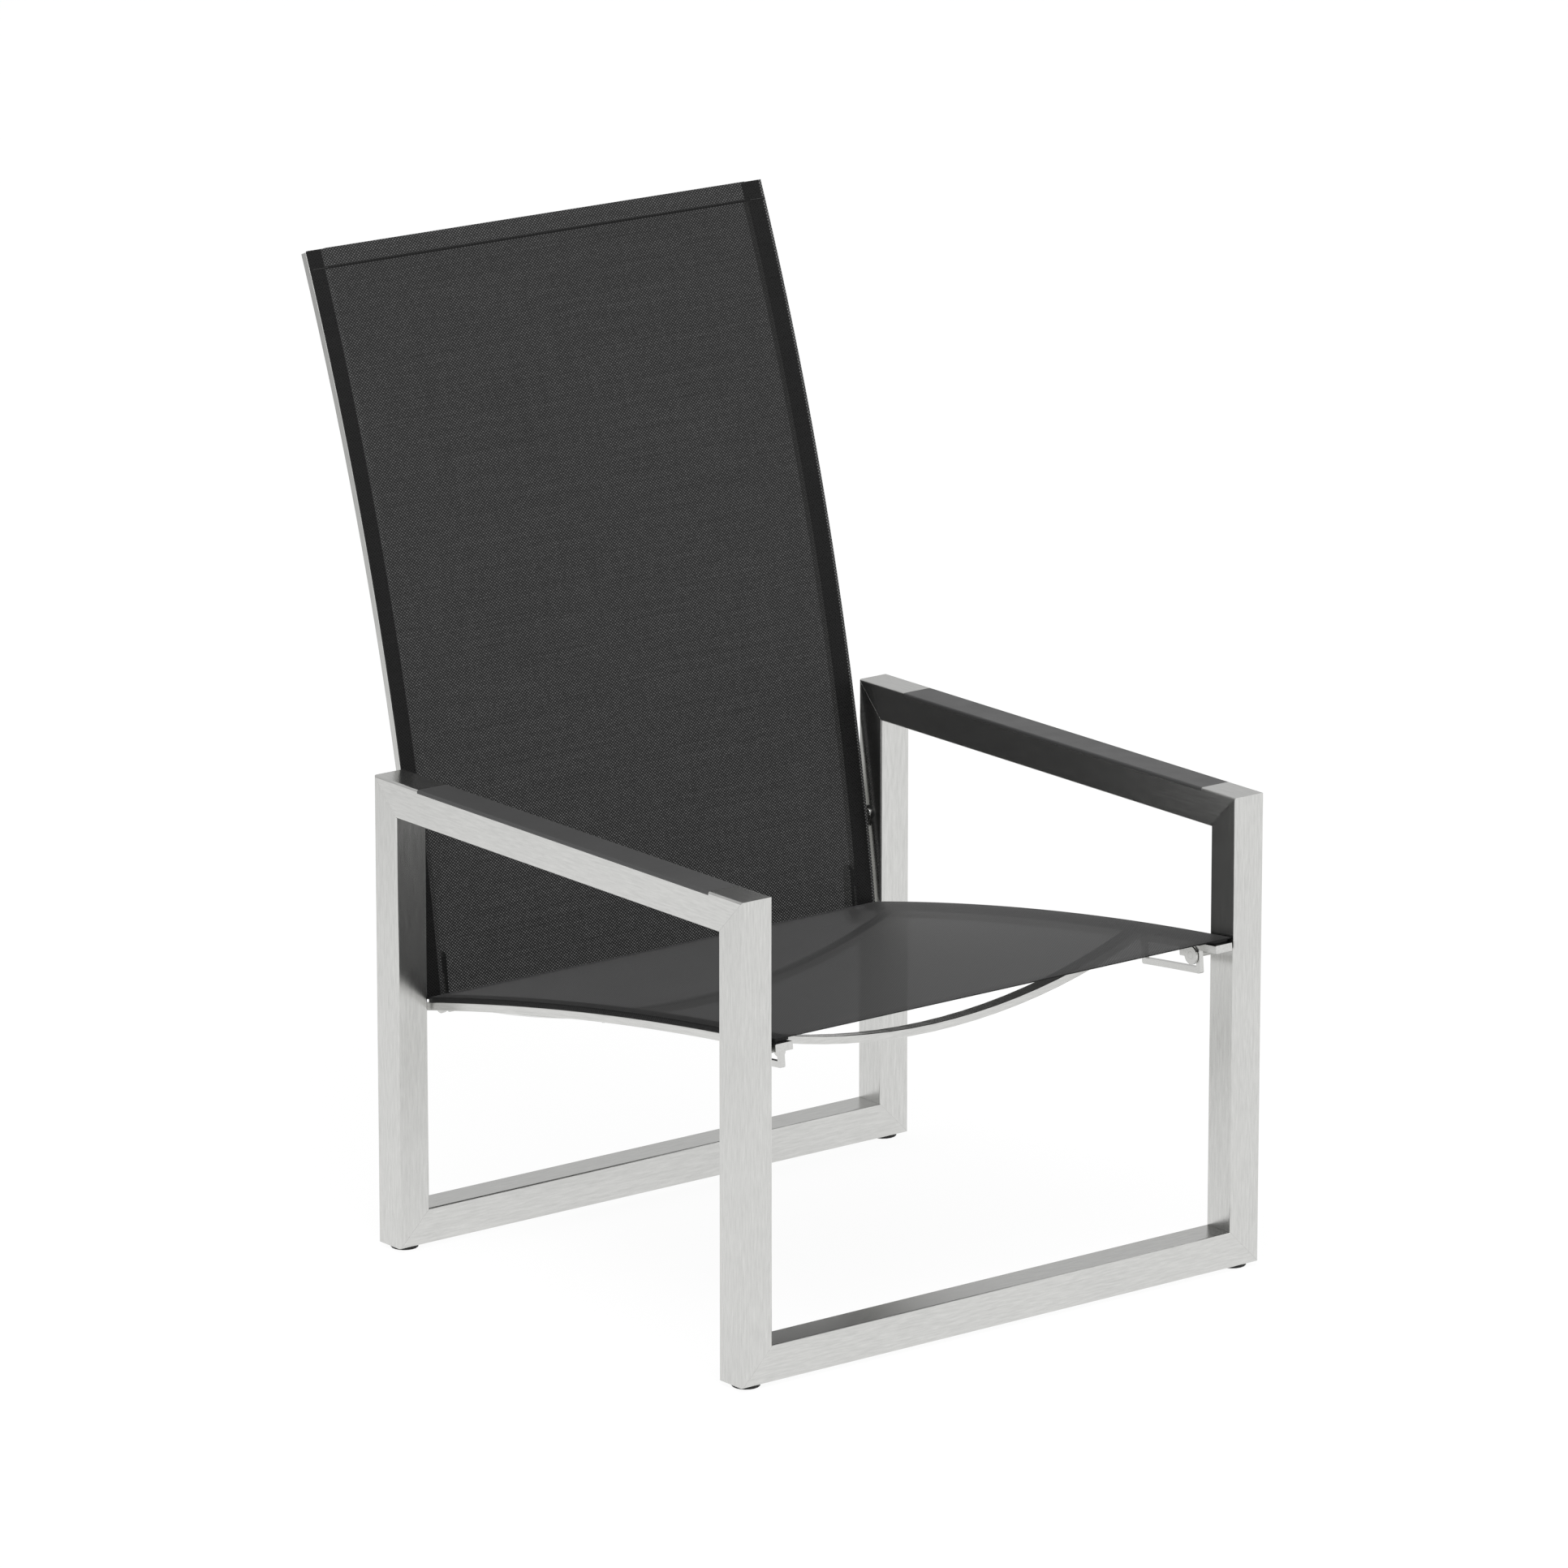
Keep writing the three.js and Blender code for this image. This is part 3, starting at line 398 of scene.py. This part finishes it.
# ---------------------------------------------------------------- finishes of the frame's nodes
STEEL_TUBE = tube_steel()
STEEL_BACK = rail_steel("brushed_steel_back_rail", BACK_CENTRE)
STEEL_SEAT = rail_steel("brushed_steel_seat_rail", SEAT_CENTRE)
STEEL_CROSS = cross_steel()
STEEL_SMALL = small_steel()
PAD = plastic("satin_arm_pad", 0.062, 0.42, 0.38, 2600.0, 0.00001)
BLACK = plastic("black_moulded_plastic", 0.010, 0.5, 0.3, 1800.0, 0.00005)
# The nylon bushes are coloured near black as painted shade round the pivot boss, in place of their white
# nylon
NYLON = plastic("nylon_bush_painted_shade", 0.02, 0.4, 0.4, 1500.0, 0.00003)
BACK_MESH = weave("woven_mesh_back", True)
SEAT_MESH = weave("woven_mesh_seat", False)
THREAD = thread_material("polyester_thread", 0.012, 0.024)
TACK_THREAD = thread_material("polyester_tack_thread", 0.04, 0.08)

FINISHES = (
    ("_leg", STEEL_TUBE), ("_floor_bar", STEEL_TUBE), ("_arm_rail", STEEL_TUBE),
    ("_back_rail", STEEL_BACK), ("_seat_rail", STEEL_SEAT), ("_stretcher", STEEL_CROSS),
    ("top_bar", STEEL_CROSS), ("_arm_pad", PAD), ("_glide", BLACK), ("_batten", BLACK),
    ("_bush", NYLON), ("_pin", STEEL_SMALL), ("_lug", STEEL_SMALL), ("_strap", STEEL_SMALL),
    ("_plate", STEEL_SMALL), ("_retainer", STEEL_SMALL), ("_screw_1", STEEL_SMALL),
    ("_screw_2", STEEL_SMALL), ("_screw_3", STEEL_SMALL),
    ("back_sling", BACK_MESH), ("seat_sling", SEAT_MESH),
)

for name, node in nodes.items():
    for ending, finish in FINISHES:
        if name.endswith(ending):
            node.data.materials.clear()
            node.data.materials.append(finish)


# ---------------------------------------------------------------- building pieces
def make_piece(name, points, faces, material, coordinates=None):
    mesh = bpy.data.meshes.new(name)
    mesh.from_pydata([tuple(p) for p in points], [], faces)
    mesh.polygons.foreach_set("use_smooth", [True] * len(faces))
    if coordinates is not None:
        layer = mesh.uv_layers.new(name="weave")
        for loop in mesh.loops:
            layer.data[loop.index].uv = coordinates[loop.vertex_index]
    mesh.materials.append(material)
    mesh.validate()
    piece = bpy.data.objects.new(name, mesh)
    scene.collection.objects.link(piece)
    return piece


def rounded_path(corners, radius, steps=4):
    """A line through corner points with each inner corner rounded"""
    path = [Vector(corners[0])]
    for before, corner, after in zip(corners, corners[1:], corners[2:]):
        before, corner, after = Vector(before), Vector(corner), Vector(after)
        back = before - corner
        on = after - corner
        cut = min(radius, back.length / 2, on.length / 2)
        start = corner + back.normalized() * cut
        end = corner + on.normalized() * cut
        for step in range(steps + 1):
            t = step / steps
            path.append(start * (1 - t) ** 2 + corner * 2 * t * (1 - t) + end * t ** 2)
    path.append(Vector(corners[-1]))
    return path


def lengths(path):
    total, out = 0.0, [0.0]
    for a, b in zip(path, path[1:]):
        total += (b - a).length
        out.append(total)
    return out


HEM_RADIUS = 1.5
HEM_CLEARANCE = 0.1
HEM_TURN_IN = 2


def sling_profile(top):
    """Across the chair: (x, height) of the cloth's middle line from under one batten, round the
    rail's edge, over the panel and back under the other, with its length from the centre line"""
    high = top - CLOTH / 2
    outer = RAIL_OUT - HEM_CLEARANCE
    corners = [(RAIL_IN + HEM_TURN_IN, HEM_CLEARANCE), (outer, HEM_CLEARANCE), (outer, high), (0, high)]
    hem = rounded_path(corners, HEM_RADIUS)[:-1]
    run = lengths(hem)
    edge = hem[-1].x
    right = [(point.x, point.y, edge + run[-1] - length) for point, length in zip(hem, run)]
    panel = [edge * (1 - 2 * step / PANEL_STEPS) for step in range(1, PANEL_STEPS)]
    middle_part = [(x, high, x) for x in panel]
    left = [(-x, height, -along) for x, height, along in reversed(right)]
    return right + middle_part + left


def sling_grid(profile, rows, on_arc, dip):
    """Points, faces and weave coordinates of the cloth laid along a rail's arc"""
    points, faces, spots = [], [], []
    width = len(profile)
    for place, lift in rows:
        for x, height, across in profile:
            points.append(on_arc(x, place, height + lift + dip(x, place, height)))
            spots.append((across * MM, place * MM))
    for row in range(len(rows) - 1):
        for column in range(width - 1):
            a = row * width + column
            faces.append((a, a + 1, a + 1 + width, a + width))
    return points, faces, spots


def steps_between(start, end, count):
    return [start + (end - start) * step / count for step in range(count + 1)]


# ---------------------------------------------------------------- back sling
SEAM_DEPTH = 0.7
SEAM_WIDTH = 1.3
WRAP_RADIUS = 1.6
TURNED_OVER = 30


def back_dip(x, place, height):
    """The pocket's seam pulls the panel down in a narrow groove"""
    if height < BACK_HEM - CLOTH or abs(x) > RAIL_IN:
        return 0.0
    return -SEAM_DEPTH * math.exp(-((place - SEAM) / SEAM_WIDTH) ** 2)


def back_sling():
    profile = sling_profile(BACK_HEM)
    places = steps_between(BACK_FOOT, SEAM - 6, 44)
    places += steps_between(SEAM - 5, SEAM + 5, 14)
    places += steps_between(SEAM + 7, BACK_TOP - CLOTH, 4)
    rows = [(place, 0.0) for place in places]
    points, faces, spots = sling_grid(profile, rows, on_back, back_dip)
    # The panel turns over the bar at the top and comes down behind it to the seam
    width = len(profile)
    first = (len(rows) - 1) * width
    high = BACK_HEM - CLOTH / 2
    behind = -RAIL_THICK - SLING_SEAT - CLOTH / 2
    over = BACK_TOP - CLOTH / 2
    corners = [(BACK_TOP - CLOTH, high), (over, high), (over, behind), (SEAM, behind), (SEAM, high - CLOTH)]
    wrap = rounded_path(corners, WRAP_RADIUS)[1:]
    run = lengths([Vector(corners[0])] + wrap)[1:]
    columns = [i for i, (x, height, _) in enumerate(profile)
               if abs(x) < RAIL_IN - SLING_SEAT and height == high]
    above = {i: first + i for i in columns}
    for spot, length in zip(wrap, run):
        row = {}
        for i in columns:
            row[i] = len(points)
            points.append(on_back(profile[i][0], spot.x, spot.y))
            spots.append((profile[i][2] * MM, (corners[0][0] + length) * MM))
        for a, b in zip(columns, columns[1:]):
            faces.append((above[a], above[b], row[b], row[a]))
        above = row
    piece = make_piece("back_sling_cloth", points, faces, BACK_MESH, spots)
    flat_width = 2 * profile[0][2] * MM
    flat_length = (BACK_TOP - BACK_FOOT + TURNED_OVER) * MM
    return piece, (flat_width, flat_length)


# ---------------------------------------------------------------- seat sling
FREE_EDGE = ((0.3, -1.2), (0.0, -0.5), (0.3, -0.1))
FREE_EDGE_DEPTH = 1.2


def seat_sling():
    """The panel between its free front and rear edges, each turned down a little"""
    profile = sling_profile(SEAT_HEM)
    places = steps_between(SEAT_START + FREE_EDGE_DEPTH, SEAT_END - FREE_EDGE_DEPTH, 40)
    rows = [(SEAT_START + inset, drop) for inset, drop in FREE_EDGE]
    rows += [(place, 0.0) for place in places]
    rows += [(SEAT_END - inset, drop) for inset, drop in reversed(FREE_EDGE)]
    points, faces, spots = sling_grid(profile, rows, on_seat, lambda x, place, height: 0.0)
    piece = make_piece("seat_sling_cloth", points, faces, SEAT_MESH, spots)
    return piece, (2 * profile[0][2] * MM, (SEAT_END - SEAT_START) * MM)


# ---------------------------------------------------------------- stitching
THREAD_RADIUS = 0.32 * MM
# A stitch's points, as shares of its length along it and of its radius into the cloth
STITCH_SHAPE = ((-0.5, 1.6), (-0.4, 0.3), (0.0, 0.0), (0.4, 0.3), (0.5, 1.6))
SEAM_STITCHES = 140
SEAM_STITCH_LENGTH = 3.2 * MM
SEAM_GROOVE = 0.6
TACKS = 5
TACK_PITCH = 4
TACK_LENGTH = 3.4 * MM


def stitch_row(name, centres, length, thread):
    """Stitches across the back as short threads that dive into the cloth at both ends"""
    curve = bpy.data.curves.new(name, "CURVE")
    curve.dimensions = "3D"
    curve.bevel_depth = THREAD_RADIUS
    curve.bevel_resolution = 2
    curve.use_fill_caps = True
    across = Vector((1, 0, 0))
    normal = (on_back(0, SEAM, 1) - on_back(0, SEAM, 0)).normalized()
    for centre in centres:
        spline = curve.splines.new("POLY")
        spline.points.add(len(STITCH_SHAPE) - 1)
        for index, (share, sink) in enumerate(STITCH_SHAPE):
            point = centre + across * length * share - normal * THREAD_RADIUS * sink
            spline.points[index].co = (*point, 1.0)
    curve.materials.append(thread)
    piece = bpy.data.objects.new(name, curve)
    scene.collection.objects.link(piece)
    return piece


def pocket_stitches():
    span = 2 * (RAIL_IN - 4)
    face = BACK_HEM - SEAM_GROOVE
    centres = []
    for step in range(SEAM_STITCHES):
        x = -span / 2 + span * (step + 0.5) / SEAM_STITCHES
        centres.append(on_back(x, SEAM, face))
    return stitch_row("pocket_stitching", centres, SEAM_STITCH_LENGTH, THREAD)


def hem_tacks():
    """A short row of stitches across each hem at the pocket's seam"""
    centres = []
    for _, sign in SIDES:
        for step in range(TACKS):
            x = sign * (RAIL_IN + 3 + TACK_PITCH * step)
            centres.append(on_back(x, SEAM, BACK_HEM + 0.1))
    return stitch_row("hem_tack_stitching", centres, TACK_LENGTH, TACK_THREAD)


# ---------------------------------------------------------------- ground welds in the mitres
TUBE_HALF = 20
TUBE_CORNER = 2.2
WELD_SUNK = 0.03
WELD_THICKNESS = 0.32
WELD_BORE = 0.9


def ring(half, radius, steps):
    """Rounded square as (a, b) pairs"""
    out = []
    for quarter in range(4):
        turn = quarter * math.pi / 2
        for step in range(steps + 1):
            angle = turn + step / steps * math.pi / 2
            corner_a = (half - radius) * (1 if quarter in (0, 3) else -1)
            corner_b = (half - radius) * (1 if quarter in (0, 1) else -1)
            out.append((corner_a + radius * math.cos(angle), corner_b + radius * math.sin(angle)))
    return out


def weld(name, corner, leg_way, bar_way):
    """Weld metal that fills one mitre: a thin ring in the plane between two tubes"""
    outer = ring(TUBE_HALF - WELD_SUNK, TUBE_CORNER, 3)
    inner = [(a * WELD_BORE, b * WELD_BORE) for a, b in outer]
    side_way = leg_way.cross(bar_way)
    normal = (leg_way - bar_way).normalized()
    points, faces = [], []
    for outline in (outer, inner):
        for offset in (-WELD_THICKNESS / 2, WELD_THICKNESS / 2):
            for a, b in outline:
                base = corner + side_way * b * MM + (leg_way + bar_way) * a * MM
                points.append(base + normal * offset * MM)
    count = len(outer)
    for i in range(count):
        j = (i + 1) % count
        o0, o1, i0, i1 = 0, count, 2 * count, 3 * count
        faces += [(o0 + i, o0 + j, o1 + j, o1 + i), (i0 + j, i0 + i, i1 + i, i1 + j),
                  (o0 + j, o0 + i, i0 + i, i0 + j), (o1 + i, o1 + j, i1 + j, i1 + i)]
    piece = make_piece(name, points, faces, STEEL_TUBE)
    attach(piece, "frame")


def welds():
    for side, sign in SIDES:
        for end, way in (("front", -1), ("rear", 1)):
            y = FRAME_Y + way * LEG_Y
            top = Vector((sign * LEG_X, y, ARM_Z))
            weld(f"{side}_{end}_arm_weld", top, Vector((0, 0, 1)), Vector((0, way, 0)))
            foot = Vector((sign * LEG_X, y, BAR_Z))
            weld(f"{side}_{end}_foot_weld", foot, Vector((0, 0, -1)), Vector((sign, 0, 0)))


# ---------------------------------------------------------------- studio
REAR_LEVEL = 0.64
WORLD_LEVEL = 0.75
FLOOR_GLOW = 1.04
FLOOR_GLOW_SHARE = 0.9
FLOOR_NEAR_Y, FLOOR_FAR_Y = 1.4, 3.7
FLOOR_HALF = 40


def floor():
    """White where the camera sees it. What the metal mirrors grows dimmer towards the rear, away
    from the soft light round the camera."""
    tree = Tree("studio_floor")
    y = tree.place()[2]
    path = tree.add("ShaderNodeLightPath").outputs
    straight = tree.math("ADD", path["Is Camera Ray"], path["Is Transmission Ray"], clamp=True)
    seen = tree.math("ADD", straight, path["Is Glossy Ray"], clamp=True)
    mirrored = tree.spread(y, FLOOR_NEAR_Y, FLOOR_FAR_Y, FLOOR_GLOW, WORLD_LEVEL * REAR_LEVEL)
    plain = tree.add("ShaderNodeBsdfDiffuse", {"Color": (0.9, 0.9, 0.9, 1)})
    strength = tree.mix(straight, mirrored, FLOOR_GLOW)
    glow = tree.add("ShaderNodeEmission", {"Color": (1, 1, 1, 1), "Strength": strength})
    share = tree.math("MULTIPLY", seen, FLOOR_GLOW_SHARE)
    mixed = tree.add("ShaderNodeMixShader", {0: share, 1: plain.outputs[0], 2: glow.outputs[0]})
    half = FLOOR_HALF
    corners = [(-half, -half, 0), (half, -half, 0), (half, half, 0), (-half, half, 0)]
    piece = make_piece("studio_floor", corners, [(0, 1, 2, 3)], tree.finish(mixed))


def world():
    """Plain light all round, with the same white for the camera and dimmer rear for the metal"""
    made = bpy.data.worlds.new("studio")
    made.use_nodes = True
    scene.world = made
    nodes = made.node_tree.nodes
    links = made.node_tree.links

    def add(kind, **values):
        node = nodes.new(kind)
        for key, value in values.items():
            node.inputs[key.replace("_", " ")].default_value = value
        return node

    background = nodes["Background"]
    path = nodes.new("ShaderNodeLightPath")
    way = nodes.new("ShaderNodeSeparateXYZ")
    links.new(nodes.new("ShaderNodeTexCoord").outputs["Generated"], way.inputs[0])
    mirrored = add("ShaderNodeMapRange", From_Min=-0.3, From_Max=0.5, To_Min=1.0, To_Max=REAR_LEVEL)
    links.new(way.outputs[1], mirrored.inputs["Value"])
    glossy = add("ShaderNodeMix", A=WORLD_LEVEL)
    links.new(path.outputs["Is Glossy Ray"], glossy.inputs["Factor"])
    links.new(mirrored.outputs[0], glossy.inputs["B"])
    straight = add("ShaderNodeMix", B=1.0)
    links.new(glossy.outputs["Result"], straight.inputs["A"])
    seen = nodes.new("ShaderNodeMath")
    links.new(path.outputs["Is Camera Ray"], seen.inputs[0])
    links.new(path.outputs["Is Transmission Ray"], seen.inputs[1])
    seen.use_clamp = True
    links.new(seen.outputs[0], straight.inputs["Factor"])
    background.inputs["Color"].default_value = (1, 1, 1, 1)
    links.new(straight.outputs["Result"], background.inputs["Strength"])


def lamp(name, place, target, size, power):
    data = bpy.data.lights.new(name, "AREA")
    data.shape = "DISK"
    data.size = size
    data.energy = power
    made = bpy.data.objects.new(name, data)
    made.location = place
    made.rotation_euler = (Vector(target) - Vector(place)).to_track_quat("-Z", "Y").to_euler()
    scene.collection.objects.link(made)


CAMERA_AZIMUTH = math.radians(-38.094)
CAMERA_ELEVATION = math.radians(15.101)
CAMERA_AIM = Vector((-0.0459, FRAME_Y, 0.5403))
CAMERA_DISTANCE = 10.8164
CAMERA_LENS = 231.155


def camera():
    back = Vector((math.sin(CAMERA_AZIMUTH) * math.cos(CAMERA_ELEVATION),
                   -math.cos(CAMERA_AZIMUTH) * math.cos(CAMERA_ELEVATION), math.sin(CAMERA_ELEVATION)))
    data = bpy.data.cameras.new("camera")
    data.lens = CAMERA_LENS
    data.sensor_width = 36
    data.clip_end = 200
    made = bpy.data.objects.new("camera", data)
    made.location = CAMERA_AIM + back * CAMERA_DISTANCE
    made.rotation_mode = "QUATERNION"
    made.rotation_quaternion = (-back).to_track_quat("-Z", "Y")
    scene.collection.objects.link(made)
    scene.camera = made


# ---------------------------------------------------------------- the whole picture
camera()
world()
floor()
lamp("overhead", (-1.2, -1.6, 3.6), (0, 0, 0.4), 2.6, 60)
scene.view_settings.view_transform = "Standard"

back_cloth, back_flat = back_sling()
seat_cloth, seat_flat = seat_sling()
seam_threads = pocket_stitches()
tack_threads = hem_tacks()
for piece, body, node in ((back_cloth, "back", "back_sling"), (seat_cloth, "seat", "seat_sling")):
    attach(piece, body)
    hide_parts(node)
for piece in (seam_threads, tack_threads):
    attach(piece, "back")
welds()
